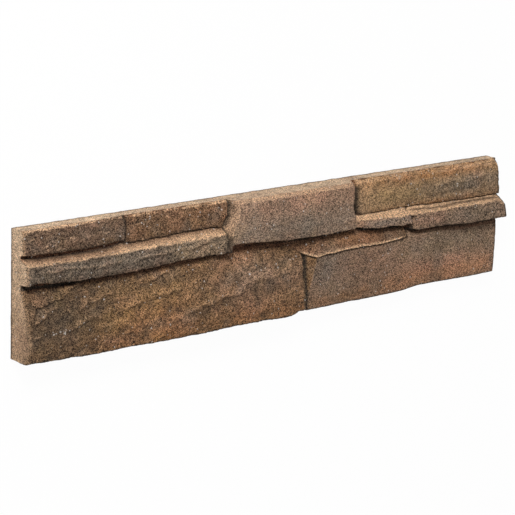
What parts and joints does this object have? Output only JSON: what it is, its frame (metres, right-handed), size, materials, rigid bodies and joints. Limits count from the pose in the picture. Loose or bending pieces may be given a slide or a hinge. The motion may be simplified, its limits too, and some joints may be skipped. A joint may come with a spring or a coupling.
{
  "type": "wall cladding tile",
  "caption": "Cast-stone strip tile for facing walls, flat on its back, with the split ledge-stone relief of a dry stone wall on its front.",
  "frame": {"origin": "centre of the flat back, which lies on the floor", "axes": "+X along the tile to the right end, +Y up the wall once it is fixed, +Z out of the wall through the relief face"},
  "size_m": [0.5, 0.102, 0.0282],
  "materials": {
    "cast_stone": "sandy, matt, cast and stained"
  },
  "bodies": {
    "root": {"cladding_tile": "cast_stone"}
  },
  "joints": []
}
